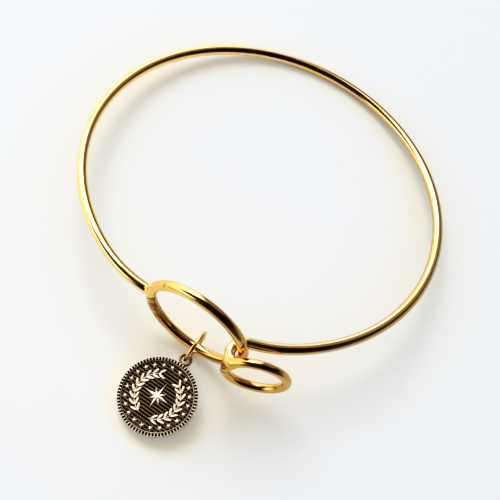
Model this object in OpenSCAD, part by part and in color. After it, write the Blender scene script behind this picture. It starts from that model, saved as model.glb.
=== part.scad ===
// A wire bangle that closes with a hook through a big ring. A small coin medal hangs from that
// ring on a jump ring. The bangle rests on a level surface at z = 0. The origin is on that surface
// under the middle of the wire loop, +X is to the right and the clasp faces -Y.

/* [Wire] */
// Thickness of the bangle's round wire
wire_d = 1.8; // [1.5:0.05:2.1]
// Inside diameter of the wire loop
inside_d = 61.2; // [56:0.2:70]
// Radius of the tighter bend next to each end of the wire
end_bend_r = 21; // [17:0.5:26]
// Where the left end's tighter bend begins, in degrees round from the clasp's side
left_bend_from = 37; // [35:0.5:40]
// How far the left end's tighter bend turns, in degrees
left_bend_turn = 30; // [27:0.5:33]
// How far the right end's tighter bend turns, in degrees
right_bend_turn = 15; // [8:0.5:20]

/* [Clasp] */
// Outside diameter of the big ring
big_ring_d = 18.8; // [16:0.1:22]
// Wire thickness of the big ring
big_ring_wire_d = 1.7; // [1.4:0.05:2]
// Outside diameter of the small ring
small_ring_d = 11.2; // [9.8:0.1:12.6]
// Wire thickness of the small ring
small_ring_wire_d = 1.5; // [1.3:0.05:1.7]
// Turn of the small ring about the vertical, in degrees
small_ring_turn = 9.5; // [5:0.5:14]
// Bend radius of the hook, at the middle of its wire
hook_r = 2.6; // [2.3:0.05:3]
// How far the hook turns, in degrees
hook_turn = 130; // [120:1:140]
// Room between the hook and the big ring's wire that it pulls on
hook_play = 0.25; // [0.15:0.05:0.4]
// Where the hook meets the small ring, in degrees above that ring's left side
hook_seat = 27; // [20:1:34]
// How far the solder stands proud of the wire at each soldered end
solder_proud = 0.08; // [0.05:0.01:0.15]

/* [Jump ring] */
// Outside diameter of the jump ring
link_d = 6.1; // [5.8:0.1:7]
// Wire thickness of the jump ring
link_wire_d = 0.65; // [0.5:0.05:0.8]
// How far along the big ring the jump ring hangs, from that ring's lowest point
link_shift = 1.35; // [0.8:0.05:2]
// How far the jump ring's middle stands out from the big ring's plane
link_set_out = 0.5; // [0.3:0.05:0.55]
// Room under the big ring, above the jump ring that lies beneath it
link_clear = 0.1; // [0.05:0.05:0.2]

/* [Medal] */
// Diameter of the medal
medal_d = 12.6; // [11:0.1:16]
// Thickness of the medal at its rim
medal_t = 1.4; // [1.1:0.1:2]
// How far the medal's eye end is tipped up from the surface, in degrees
medal_tip = 9; // [6:0.5:11]
// How far the medal's right side is tipped up, in degrees
medal_roll = 8; // [4:0.5:10]
// Depth of the sunk field below the rim
field_depth = 0.4; // [0.2:0.05:0.6]
// Width of the plain band round the edge
band_w = 0.1; // [0.1:0.05:0.4]
// Length of the rim's teeth
tooth_len = 0.4; // [0.3:0.05:0.6]
// Spacing of the rim's teeth
tooth_pitch = 0.515; // [0.4:0.005:0.7]
// Width of one tooth
tooth_w = 0.26; // [0.16:0.02:0.3]
// Width of the thin line inside the teeth
bead_w = 0.2; // [0.1:0.05:0.3]
// Spacing of the field's raised lines
line_pitch = 0.51; // [0.4:0.01:0.7]
// Width of one raised line
line_w = 0.22; // [0.14:0.01:0.3]
// Height of the raised lines above the field
line_h = 0.1; // [0.05:0.01:0.15]

/* [Motif] */
// Tip radius of one star
star_r = 0.46; // [0.3:0.02:0.5]
// Number of stars in the ring
star_count = 22; // [10:1:24]
// Room between the stars and the thin line
star_clear = 0.1; // [0.05:0.05:0.3]
// Length of one laurel leaf
leaf_len = 1.3; // [1:0.05:1.5]
// Width of one laurel leaf
leaf_w = 0.52; // [0.4:0.02:0.6]
// Leaf pairs on each branch of the wreath
leaf_pairs = 9; // [6:1:10]
// Width of the wreath's stem
stem_w = 0.16; // [0.12:0.02:0.24]
// Room between the wreath and the stars
wreath_clear = 0.1; // [0.05:0.05:0.3]
// Reach of the compass rose's long points
rose_long = 2.35; // [1.8:0.05:2.4]
// Reach of the compass rose's short points
rose_short = 1.5; // [1.2:0.05:1.7]
// Height of the stars, the leaves and the rose above the field
motif_h = 0.3; // [0.15:0.05:0.35]

/* [Eye] */
// Outside diameter of the medal's eye
eye_d = 2.2; // [2.1:0.1:2.8]
// Hole through the medal's eye
eye_hole_d = 1.25; // [1.15:0.05:1.4]
// Thickness of the medal's eye
eye_t = 1; // [0.8:0.1:1.1]
// How far the eye is sunk into the rim
eye_sink = 0.1; // [0.1:0.05:0.3]

/* [Hidden] */
GOLD = "#d8a531";
PALE_GOLD = "#b99b5f";

// Depth that a raised detail reaches into what carries it
root = 0.1;
// The wire's arcs meet in balls a hair thicker than the wire, and stop this far short of their middles
joint_proud = 0.02;
joint_gap = 0.04;

wire_r = wire_d / 2;
loop_r = inside_d / 2 + wire_r;
big_wire_r = big_ring_wire_d / 2;
big_r = big_ring_d / 2 - big_wire_r;
small_wire_r = small_ring_wire_d / 2;
small_r = small_ring_d / 2 - small_wire_r;
link_wire_r = link_wire_d / 2;
link_r = link_d / 2 - link_wire_r;

function polar(r, a) = [r * cos(a), r * sin(a)];

// The wire in the loop's own plane: a big arc, a tighter arc next to each end, and the hook
bend_inset = loop_r - end_bend_r;
left_from = 270 - left_bend_from;
left_bend_c = polar(bend_inset, left_from);
left_to = left_from + left_bend_turn;
left_end = left_bend_c + polar(end_bend_r, left_to);

// The hook's bend touches the right end's bend from outside, so their radii add up
hook_reach = end_bend_r + hook_r;
hook_c_r = norm([bend_inset + hook_reach * cos(right_bend_turn), hook_reach * sin(right_bend_turn)]);
hook_lag = atan2(bend_inset * sin(right_bend_turn), hook_reach + bend_inset * cos(right_bend_turn));

// The big ring spans from the left end to the wire that the hook pulls on
hook_span = 2 * big_r + hook_r - wire_r - big_wire_r - hook_play;
left_end_r = norm(left_end);
left_end_a = atan2(left_end[1], left_end[0]);
hook_c_a = left_end_a + acos((left_end_r ^ 2 + hook_c_r ^ 2 - hook_span ^ 2) / (2 * left_end_r * hook_c_r));
hook_c = polar(hook_c_r, hook_c_a);
right_to = hook_c_a - hook_lag;
right_from = right_to + right_bend_turn;
right_bend_c = polar(bend_inset, right_from);
hook_from = right_to + 180;
hook_end = hook_c + polar(hook_r, hook_from + hook_turn);

// The wire tips back until its back stretch lies on the surface
big_ring_z = link_wire_d + link_clear + big_wire_r + big_r;
tip = asin((big_ring_z - wire_r) / (loop_r - left_end[1]));
loop_z = loop_r * sin(tip) + wire_r;

function rest_point(p) = [p[0], p[1] * cos(tip), loop_z - p[1] * sin(tip)];

// The two rings stand upright on their soldered ends
big_seat = rest_point(left_end);
big_turn = atan2((hook_c - left_end)[1] * cos(tip), (hook_c - left_end)[0]);
big_ring_at = big_seat + [big_r * cos(big_turn), big_r * sin(big_turn), 0];
small_seat = rest_point(hook_end);
small_arm = small_r * cos(hook_seat);
small_ring_at = small_seat
    + [small_arm * cos(small_ring_turn), small_arm * sin(small_ring_turn), -small_r * sin(hook_seat)];

// Medal: its own plane is XY, its eye is towards +Y and its face is up
medal_r = medal_d / 2;
face_z = medal_t / 2;
field_z = face_z - field_depth;
tooth_out_r = medal_r - band_w;
tooth_in_r = tooth_out_r - tooth_len;
field_r = tooth_in_r - bead_w;
star_at_r = field_r - star_clear - star_r;
leaf_out_r = star_at_r - star_r - wreath_clear;
eye_r = eye_d / 2;
eye_reach = medal_r + eye_r - eye_sink;

// The medal's low edge lies on the surface and its eye is threaded on the jump ring
medal_lean = acos(cos(medal_tip) * cos(medal_roll));
medal_z = medal_r * sin(medal_lean) + face_z * cos(medal_lean);
eye_z = medal_z + eye_reach * sin(medal_tip);
eye_rise = asin((eye_z - link_d / 2) / link_r);
eye_out = link_set_out + link_r * cos(eye_rise);

// Laurel leaf: two arcs of this radius meet at its tips
leaf_arc_r = (leaf_len ^ 2 + leaf_w ^ 2) / (4 * leaf_w);
// Tilt of a leaf away from its stem, in degrees
leaf_tilt = 32;
// A leaf's middle stands this far off the stem
leaf_off = leaf_len / 2 * sin(leaf_tilt) + stem_w / 2;
stem_r = leaf_out_r - 2 * leaf_off;
// The branches start this far from the foot and stop this far from the top, in degrees
branch_foot = 12;
branch_tip = 24;

// Part of a ring made of round wire, in the XY plane
module wire_arc(bend_r, thick_r, from, turn) {
    rotate([0, 0, from])
        rotate_extrude(angle = turn, $fn = 96)
            translate([bend_r, 0])
                circle(r = thick_r, $fn = 48);
}

// A whole ring of round wire that stands upright and is turned about the vertical
module upright_ring(at, bend_r, thick_r, turn) {
    translate(at)
        rotate([90, 0, turn])
            wire_arc(bend_r, thick_r, 0, 360);
}

// A ball of solder round the end of the wire
module solder(at) {
    translate(at)
        sphere(r = wire_r + solder_proud, $fn = 48);
}

// A ball a hair thicker than the wire, where two arcs meet at this angle of one of them. Its poles lie
// along the wire.
module wire_joint(centre, bend_r, angle) {
    translate(centre)
        rotate([90, 0, angle])
            translate([bend_r, 0, 0])
                sphere(r = wire_r + joint_proud, $fn = 48);
}

// An arc of the wire round this centre, which stops just short of the balls at its two ends
module wire_bend(centre, bend_r, from, turn) {
    short = asin(joint_gap / bend_r);
    translate(centre)
        wire_arc(bend_r, wire_r, from + short, turn - 2 * short);
}

// The loop from its left end, round the back and into the hook
module loop_wire() {
    translate([0, 0, loop_z])
        rotate([-tip, 0, 0]) {
            wire_bend([0, 0], loop_r, right_from, left_from - right_from);
            wire_bend(left_bend_c, end_bend_r, left_from, left_bend_turn);
            wire_bend(right_bend_c, end_bend_r, right_to, right_bend_turn);
            wire_bend(hook_c, hook_r, hook_from, hook_turn);
            wire_joint([0, 0], loop_r, left_from);
            wire_joint([0, 0], loop_r, right_from);
            wire_joint(hook_c, hook_r, hook_from);
        }
}

module bangle() {
    color(GOLD)
        union() {
            loop_wire();
            upright_ring(big_ring_at, big_r, big_wire_r, big_turn);
            upright_ring(small_ring_at, small_r, small_wire_r, small_ring_turn);
            solder(big_seat);
            solder(small_seat);
        }
}

// Places what hangs from the big ring: X runs along that ring and -Y out of its front
module at_drop() {
    translate([big_ring_at[0], big_ring_at[1], 0])
        rotate([0, 0, big_turn])
            translate([link_shift, 0, 0])
                children();
}

module jump_ring() {
    color(PALE_GOLD)
        at_drop()
            translate([0, -link_set_out, link_d / 2])
                rotate([0, 90, 0])
                    wire_arc(link_r, link_wire_r, 0, 360);
}

// Raises a flat shape to this height above the field
module raised(height) {
    translate([0, 0, field_z - root])
        linear_extrude(height + root)
            children();
}

module star(tip_r) {
    inner_r = tip_r * sin(18) / sin(54);
    polygon([for (i = [0:9]) polar(i % 2 == 0 ? tip_r : inner_r, 90 + 36 * i)]);
}

module star_ring() {
    for (i = [0:star_count - 1])
        rotate([0, 0, 360 / star_count * (i + 0.5)])
            translate([0, star_at_r])
                star(star_r);
}

// A pointed leaf along Y
module leaf() {
    side = leaf_arc_r - leaf_w / 2;
    intersection() {
        translate([side, 0])
            circle(r = leaf_arc_r, $fn = 96);
        translate([-side, 0])
            circle(r = leaf_arc_r, $fn = 96);
    }
}

// One branch of the wreath, up the right side: a stem with a pair of leaves at each step
module branch() {
    step = (180 - branch_foot - branch_tip) / leaf_pairs;
    for (i = [1:leaf_pairs], side = [-1, 1])
        rotate([0, 0, branch_foot + step * i - 90])
            translate([stem_r + side * leaf_off, 0])
                rotate([0, 0, -side * leaf_tilt])
                    leaf();
    intersection() {
        difference() {
            circle(r = stem_r + stem_w / 2, $fn = 96);
            circle(r = stem_r - stem_w / 2, $fn = 96);
        }
        polygon([[0, 0], for (a = [branch_foot : 24 : 180 - branch_tip]) polar(medal_d, a - 90),
            polar(medal_d, 90 - branch_tip)]);
    }
}

// An eight-pointed compass rose: four long points over four short ones
module rose() {
    waist = rose_short / 3;
    polygon([for (i = [0:7]) polar(i % 2 == 0 ? rose_long : waist, 45 * i)]);
    polygon([for (i = [0:7]) polar(i % 2 == 0 ? rose_short : waist, 45 * i + 45)]);
}

module field_lines() {
    count = floor(field_r / line_pitch);
    intersection() {
        circle(r = field_r + bead_w / 2, $fn = 96);
        for (i = [-count:count])
            translate([-field_r - bead_w, line_pitch * i - line_w / 2])
                square([2 * (field_r + bead_w), line_w]);
    }
}

module rim_teeth() {
    count = floor(360 / (2 * asin(tooth_pitch / 2 / tooth_out_r)));
    for (i = [0:count - 1])
        rotate([0, 0, 360 / count * i])
            translate([tooth_in_r - bead_w / 2, -tooth_w / 2])
                square([tooth_len + bead_w / 2 + band_w / 2, tooth_w]);
}

module flat_ring(out_r, in_r) {
    difference() {
        circle(r = out_r, $fn = 96);
        circle(r = in_r, $fn = 96);
    }
}

module medal_body() {
    translate([0, 0, -face_z])
        cylinder(r = medal_r, h = medal_t - field_depth, $fn = 96);
    raised(field_depth)
        flat_ring(medal_r, tooth_out_r);
    raised(field_depth)
        flat_ring(tooth_in_r, field_r);
    raised(field_depth)
        rim_teeth();
    raised(line_h)
        field_lines();
    raised(motif_h)
        star_ring();
    raised(motif_h)
        branch();
    raised(motif_h)
        mirror([1, 0])
            branch();
    raised(motif_h)
        rose();
    translate([0, eye_reach, -eye_t / 2])
        cylinder(r = eye_r, h = eye_t, $fn = 64);
}

module medal() {
    color(PALE_GOLD)
        at_drop()
            translate([0, -eye_out - eye_reach * cos(medal_tip), medal_z])
                rotate([medal_tip, 0, 0])
                    rotate([0, -medal_roll, 0])
                        difference() {
                            medal_body();
                            translate([0, eye_reach, -medal_t])
                                cylinder(r = eye_hole_d / 2, h = 2 * medal_t, $fn = 64);
                        }
}

bangle();
jump_ring();
medal();
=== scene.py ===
"""A wire bangle with a coin medal, finished in polished and antiqued gold on a pale sheet.

The sizes are in metres, and the worked-out shapes are in millimetres until they reach a mesh.
"""

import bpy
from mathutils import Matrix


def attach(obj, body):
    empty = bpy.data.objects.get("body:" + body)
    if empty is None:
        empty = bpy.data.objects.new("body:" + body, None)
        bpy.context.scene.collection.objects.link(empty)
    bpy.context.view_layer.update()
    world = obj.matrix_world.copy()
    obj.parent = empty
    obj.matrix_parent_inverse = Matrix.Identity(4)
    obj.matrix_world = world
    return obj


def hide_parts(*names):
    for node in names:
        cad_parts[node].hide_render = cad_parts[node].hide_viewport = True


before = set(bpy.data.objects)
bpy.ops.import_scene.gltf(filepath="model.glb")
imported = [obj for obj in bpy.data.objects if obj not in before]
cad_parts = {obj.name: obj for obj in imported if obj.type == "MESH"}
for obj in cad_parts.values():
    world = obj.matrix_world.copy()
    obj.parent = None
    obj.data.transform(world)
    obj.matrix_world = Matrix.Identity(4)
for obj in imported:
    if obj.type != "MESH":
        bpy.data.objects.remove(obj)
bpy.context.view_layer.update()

from types import SimpleNamespace

import bpy
import numpy as np
from bpy.props import FloatProperty, FloatVectorProperty, IntProperty, PointerProperty
from bpy.types import Operator, Panel, PropertyGroup
from mathutils import Matrix

bl_info = {
    "name": "Charm bangle",
    "version": (1, 0, 0),
    "blender": (4, 5, 0),
    "location": "View3D > Sidebar > Bangle",
    "description": "Makes a wire bangle with a hook clasp and a coin medal",
    "category": "Add Mesh",
}


def length(name, default, description):
    """A size in metres."""
    return FloatProperty(name=name, description=description, default=default, min=0.0, precision=6, unit="LENGTH")


def degrees(name, default, description):
    """An angle, given in degrees."""
    return FloatProperty(name=name, description=description, default=np.radians(default), precision=4,
                         subtype="ANGLE")


def colour(name, default, description):
    """A linear colour."""
    return FloatVectorProperty(name=name, description=description, default=default, size=3, min=0.0, max=1.0,
                               subtype="COLOR")


def amount(name, default, description, top=1.0):
    """A plain number from 0 up."""
    return FloatProperty(name=name, description=description, default=default, min=0.0, max=top, precision=4)


class WireSizes(PropertyGroup):
    """The wire, its end bends and its hook"""

    thickness: length("Thickness", 0.0018, "Thickness of the bangle's round wire")
    inside: length("Inside diameter", 0.0612, "Inside diameter of the wire loop")
    end_bend: length("End bend", 0.021, "Radius of the tighter bend next to each end")
    left_from: degrees("Left bend from", 37, "Where the left end's bend begins, round from the clasp's side")
    left_turn: degrees("Left bend turn", 30, "How far the left end's bend turns")
    right_turn: degrees("Right bend turn", 15, "How far the right end's bend turns")
    hook_bend: length("Hook bend", 0.0026, "Bend radius of the hook")
    hook_turn: degrees("Hook turn", 130, "How far the hook turns")
    hook_play: length("Hook play", 0.00025, "Room between the hook and the big ring")


class RingSizes(PropertyGroup):
    """The two rings, their seams and their solder"""

    big: length("Big ring", 0.0188, "Outside diameter of the big ring")
    big_wire: length("Big ring wire", 0.0017, "Wire thickness of the big ring")
    small: length("Small ring", 0.0112, "Outside diameter of the small ring")
    small_wire: length("Small ring wire", 0.0015, "Wire thickness of the small ring")
    small_turn: degrees("Small ring turn", 9.5, "Turn of the small ring about the vertical")
    seat: degrees("Hook seat", 27, "Where the hook meets the small ring, above its left side")
    big_seam: degrees("Big ring seam", 4.5, "Where the big ring's seam is, below the wire's end")
    small_seam: degrees("Small ring seam", 30, "Where the small ring's seam is, below the hook's end")
    seam_width: length("Seam width", 0.00025, "Width of a closed seam")
    seam_depth: length("Seam depth", 0.00014, "Depth of a closed seam")
    big_fillet: length("Big ring solder", 0.0008, "How far the solder spreads between the wire and the big ring")
    small_fillet: length("Small ring solder", 0.0015,
                         "How far the solder spreads between the hook and the small ring")
    set_back: length("Set back", 0.0003, "How far the hook's tip is set back behind the small ring's middle")
    small_swell: length("Small ring swelling", 0.00018, "How far solder thickens the small ring by its seam")
    pit: length("Pit", 0.00028, "Radius of the small pit in the big ring")
    pit_at: degrees("Pit place", 137, "Where the pit is, round the big ring from its right side over its top")
    pit_side: degrees("Pit side", -40, "Where the pit is round the wire, from the ring's outside towards its back")


class JumpRingSizes(PropertyGroup):
    """The jump ring between the big ring and the medal"""

    outside: length("Outside", 0.0061, "Outside diameter of the jump ring")
    thickness: length("Thickness", 0.00065, "Wire thickness of the jump ring")
    shift: length("Shift", 0.00135, "How far along the big ring it hangs")
    set_out: length("Set out", 0.0005, "How far its middle stands out from the big ring's plane")
    clear: length("Clearance", 0.0001, "Room between it and the big ring above it")
    cut: degrees("Cut", 60, "Where its closed cut is, round it from its back over its top")
    cut_width: length("Cut width", 0.00003, "Width of the closed cut")
    cut_depth: length("Cut depth", 0.00005, "Depth of the closed cut")


class MedalSizes(PropertyGroup):
    """The medal, its rim, its field and its eye"""

    diameter: length("Diameter", 0.0126, "Diameter of the medal")
    thickness: length("Thickness", 0.0014, "Thickness at the rim")
    tip: degrees("Tip", 9, "How far the eye end is tipped up")
    roll: degrees("Roll", 8, "How far the right side is tipped up")
    depth: length("Field depth", 0.0004, "Depth of the sunk field")
    band: length("Band", 0.0001, "Width of the plain band round the edge")
    tooth: length("Tooth", 0.0004, "Length of the rim's teeth")
    tooth_pitch: length("Tooth pitch", 0.000515, "Spacing of the rim's teeth")
    tooth_width: length("Tooth width", 0.0003, "Width of one tooth")
    bead: length("Thin line", 0.0002, "Width of the thin line inside the teeth")
    line_pitch: length("Line pitch", 0.00051, "Spacing of the field's raised lines")
    line_width: length("Line width", 0.00024, "Width of one raised line")
    line_height: length("Line height", 0.0001, "Height of the raised lines")
    eye: length("Eye", 0.0022, "Outside diameter of the eye")
    eye_hole: length("Eye hole", 0.00125, "Hole through the eye")
    eye_thickness: length("Eye thickness", 0.001, "Thickness of the eye")
    eye_sink: length("Eye sink", 0.0001, "How far the eye is sunk into the rim")


class MotifSizes(PropertyGroup):
    """The medal's stars, wreath and compass rose"""

    height: length("Height", 0.0003, "Height of the motif above the field")
    stars: IntProperty(name="Stars", description="Number of stars in the ring", default=22, min=3, max=30)
    star: length("Star", 0.00046, "Tip radius of one star")
    star_dip: amount("Star dips", 0.47, "Where a star's points meet, as a share of its tip radius")
    star_clear: length("Star room", 0.0001, "Room between the stars and the thin line")
    leaf: length("Leaf length", 0.0013, "Length of one laurel leaf")
    leaf_width: length("Leaf width", 0.00052, "Width of one laurel leaf")
    leaf_tilt: degrees("Leaf tilt", 32, "How far each leaf leans out from the stem")
    pairs: IntProperty(name="Leaf pairs", description="Leaf pairs on each branch", default=9, min=3, max=12)
    stem: length("Stem", 0.00016, "Width of the wreath's stem")
    foot: degrees("Wreath foot", 12, "Half of the wreath's gap at its foot")
    lead: degrees("Wreath top", 24, "Half of the wreath's gap at its top")
    wreath_clear: length("Wreath room", 0.0001, "Room between the wreath and the stars")
    rose_long: length("Long points", 0.00235, "Reach of the compass rose's long points")
    rose_short: length("Short points", 0.0015, "Reach of the compass rose's short points")


class Finishes(PropertyGroup):
    """The colours and the softness of the finishes"""

    gold: colour("Gold", (0.82, 0.59, 0.29), "Polished pale gold of the wire")
    warm_gold: colour("Warm gold", (0.88, 0.58, 0.19), "Polished yellow gold of the rings")
    deep_gold: colour("Deep gold", (0.8, 0.46, 0.12), "Polished gold where the plate is deepest")
    tarnish: colour("Tarnish", (0.26, 0.12, 0.035), "Brown tarnish by the big ring's seam")
    seam: colour("Seam", (0.05, 0.025, 0.01), "Dirt in the seams and pits")
    gold_roughness: amount("Gold roughness", 0.1, "How soft the polished gold's reflections are")
    bright: colour("Worn gold", (1.0, 0.88, 0.67), "Antiqued gold on the raised parts")
    dull: colour("Dull gold", (0.15, 0.1, 0.055), "Antiqued gold that is half covered by patina")
    patina: colour("Patina", (0.003, 0.0015, 0.001), "Dark patina in the recesses")
    link: colour("Jump ring gold", (0.72, 0.51, 0.21), "Antiqued gold of the jump ring")
    eye: colour("Eye gold", (0.58, 0.38, 0.16), "Antiqued gold of the medal's eye, which is worn less")
    medal_roughness: amount("Medal roughness", 0.31, "How soft the reflections on the medal's raised parts are")
    eye_roughness: amount("Eye roughness", 0.25, "How soft the reflections on the medal's eye are")
    link_roughness: amount("Jump ring roughness", 0.16, "How soft the reflections on the jump ring are")
    sheet: colour("Sheet", (0.845, 0.865, 0.89), "The pale sheet that the bangle lies on")
    # Painted glow: the warm light that the gold throws on the sheet close to it, painted into the sheet's colour
    painted_gold_glow: colour("Warm sheet", (0.9, 0.8, 0.5), "The sheet where the gold is very close")


class StageSettings(PropertyGroup):
    """The camera, the sheet and the light"""

    lens: amount("Lens", 68.98, "Focal length of the camera, in millimetres", 300.0)
    sheet_size: length("Sheet size", 6.0, "Side of the pale sheet")
    wall: amount("Wall", 1.65, "Brightness of the pale wall at the left", 5.0)
    fill: amount("Fill", 0.64, "Brightness of the light that the sheet has from all sides", 5.0)
    key: amount("Window", 9.5, "Power of the window's light, in watts", 100.0)
    halo: amount("Window surround", 4.0, "Power of the pale surround of the window, in watts", 100.0)
    shine: amount("Shine", 2.6, "How much stronger the window is in reflections", 10.0)
    soft_shine: amount("Soft shine", 3.05, "How much stronger the window's surround is in reflections", 10.0)
    glow: amount("Glow", 0.0005, "Power of the warm glow that the clasp throws on the sheet, in watts", 1.0)
    contrast: amount("Contrast", 0.045, "How much stronger the picture's contrast is than plain", 0.1)


# The scene holds each group of sizes under the prefix and its short name
PREFIX = "bangle_"
GROUPS = {
    "wire": WireSizes,
    "rings": RingSizes,
    "jump_ring": JumpRingSizes,
    "medal": MedalSizes,
    "motif": MotifSizes,
    "finishes": Finishes,
    "stage": StageSettings,
}


def settings():
    """The scene's groups of sizes by their short names, with every length in millimetres."""
    found = {}
    for key, group in GROUPS.items():
        kept, sizes = getattr(bpy.context.scene, PREFIX + key), {}
        for name, kind in group.__annotations__.items():
            value = getattr(kept, name)
            sizes[name] = value * 1000.0 if kind.keywords.get("unit") == "LENGTH" else value
        found[key] = SimpleNamespace(**sizes)
    return SimpleNamespace(**found)


# Places


def polar(r, a):
    """The point at distance r and angle a, in the plane."""
    return np.array([r * np.cos(a), r * np.sin(a)])


def turned(points, angle, axis):
    """Points turned about the X, Y or Z axis through the origin by the right-hand rule."""
    c, s = np.cos(angle), np.sin(angle)
    a, b = [(1, 2), (2, 0), (0, 1)][axis]
    out = np.array(points, float)
    out[..., a], out[..., b] = c * points[..., a] - s * points[..., b], s * points[..., a] + c * points[..., b]
    return out


def smooth(x):
    """0 below 0, 1 above 1 and a soft step between, 3x^2 - 2x^3."""
    x = np.clip(x, 0, 1)
    return x * x * (3 - 2 * x)


def apart(a, b):
    """The turn from angle b to angle a, from -pi to pi."""
    return (a - b + np.pi) % (2 * np.pi) - np.pi


def lay_out():
    """Works out where everything is from the sizes.

    The wire is a big arc, a tighter arc next to each end and the hook, in the loop's own plane. The big ring
    spans from the wire's left end to the wire that the hook pulls on. The loop then tips back until its
    back lies on the surface and the big ring stands just above the jump ring beneath it.
    """
    s = settings()
    w, g, j, m = s.wire, s.rings, s.jump_ring, s.medal
    p = SimpleNamespace(wire_r=w.thickness / 2, big_wr=g.big_wire / 2, small_wr=g.small_wire / 2,
                        link_wr=j.thickness / 2)
    p.loop_r = w.inside / 2 + p.wire_r
    p.big_r = g.big / 2 - p.big_wr
    p.small_r = g.small / 2 - p.small_wr
    p.link_r = j.outside / 2 - p.link_wr
    # The left end: a bend that starts on the loop and turns in
    inset = p.loop_r - w.end_bend
    left_from = 1.5 * np.pi - w.left_from
    left_c = polar(inset, left_from)
    left_to = left_from + w.left_turn
    p.left_end = left_c + polar(w.end_bend, left_to)
    # The hook's middle: how far it is from the loop's middle, and how far round it is past its bend's end. The big
    # ring spans from the left end to the wire inside the hook, which sets the angle between the two
    reach = w.end_bend + w.hook_bend
    hook_c_r = np.hypot(inset + reach * np.cos(w.right_turn), reach * np.sin(w.right_turn))
    lag = np.arctan2(inset * np.sin(w.right_turn), reach + inset * np.cos(w.right_turn))
    span = 2 * p.big_r + w.hook_bend - p.wire_r - p.big_wr - w.hook_play
    end_r, end_a = np.hypot(*p.left_end), np.arctan2(p.left_end[1], p.left_end[0])
    hook_c_a = end_a + np.arccos((end_r**2 + hook_c_r**2 - span**2) / (2 * end_r * hook_c_r))
    p.hook_c = polar(hook_c_r, hook_c_a)
    right_to = hook_c_a - lag
    right_from = right_to + w.right_turn
    hook_from = right_to + np.pi
    p.hook_end = p.hook_c + polar(w.hook_bend, hook_from + w.hook_turn)
    # Each arc of the wire from the hook's end to the left end: centre, radius, start and turn
    p.arcs = [
        (p.hook_c, w.hook_bend, hook_from + w.hook_turn, -w.hook_turn),
        (polar(inset, right_from), w.end_bend, right_to, w.right_turn),
        (np.zeros(2), p.loop_r, right_from, (left_from - right_from) % (2 * np.pi)),
        (left_c, w.end_bend, left_from, w.left_turn),
    ]
    # The loop's tip and height, and the places where the rings are soldered to the wire
    big_z = j.thickness + j.clear + p.big_wr + p.big_r
    p.tip = np.arcsin((big_z - p.wire_r) / (p.loop_r - p.left_end[1]))
    p.loop_z = p.loop_r * np.sin(p.tip) + p.wire_r
    p.big_seat = at_rest(p, np.append(p.left_end, 0))
    p.small_seat = at_rest(p, np.append(p.hook_end, 0))
    along = (p.hook_c - p.left_end) * [1, np.cos(p.tip)]
    p.big_turn = np.arctan2(along[1], along[0])
    p.big_at = p.big_seat + [p.big_r * np.cos(p.big_turn), p.big_r * np.sin(p.big_turn), 0]
    p.small_turn = g.small_turn
    arm = p.small_r * np.cos(g.seat)
    p.small_at = p.small_seat + [arm * np.cos(p.small_turn), arm * np.sin(p.small_turn),
                                 -p.small_r * np.sin(g.seat)]
    p.big_seam, p.small_seam = np.pi + g.big_seam, np.pi - g.seat + g.small_seam
    swell_at, swell_room = -1.2, 1.3  # where solder thickens the small ring, along it from its seam, and how far
    swell = lambda a: p.small_wr + g.small_swell * np.exp(
        -(((apart(a, p.small_seam) * p.small_r - swell_at) / swell_room) ** 2))
    # Each ring: centre, turn, radius and its wire's radius at an angle round it
    p.big_ring = (p.big_at, p.big_turn, p.big_r, lambda a: p.big_wr + 0 * a)
    p.small_ring = (p.small_at, p.small_turn, p.small_r, swell)
    # The medal: its lowest edge is on the surface, and its eye's middle is on the jump ring's wire
    p.medal_r, p.face_z = m.diameter / 2, m.thickness / 2
    p.eye_reach = p.medal_r + m.eye / 2 - m.eye_sink
    lean = np.arccos(np.cos(m.tip) * np.cos(m.roll))
    p.medal_z = p.medal_r * np.sin(lean) + p.face_z * np.cos(lean)
    rise = np.arcsin((p.medal_z + p.eye_reach * np.sin(m.tip) - j.outside / 2) / p.link_r)
    p.eye_out = j.set_out + p.link_r * np.cos(rise)
    return s, p


def at_rest(p, points):
    """Points of the loop's plane, tipped back and lifted to where the loop lies."""
    return turned(np.asarray(points, float), -p.tip, 0) + [0, 0, p.loop_z]


def at_drop(s, p, points):
    """Points of what hangs from the big ring, with X along that ring and -Y out of its front."""
    return turned(points + [s.jump_ring.shift, 0, 0], p.big_turn, 2) + [p.big_at[0], p.big_at[1], 0]


def on_medal(s, p, points):
    """Points of the medal's own frame, eye towards +Y and face up, rolled, tipped and hung on the jump ring."""
    laid = turned(turned(points, -s.medal.roll, 1), s.medal.tip, 0)
    return at_drop(s, p, laid + [0, -p.eye_out - p.eye_reach * np.cos(s.medal.tip), p.medal_z])


# Meshes


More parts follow.
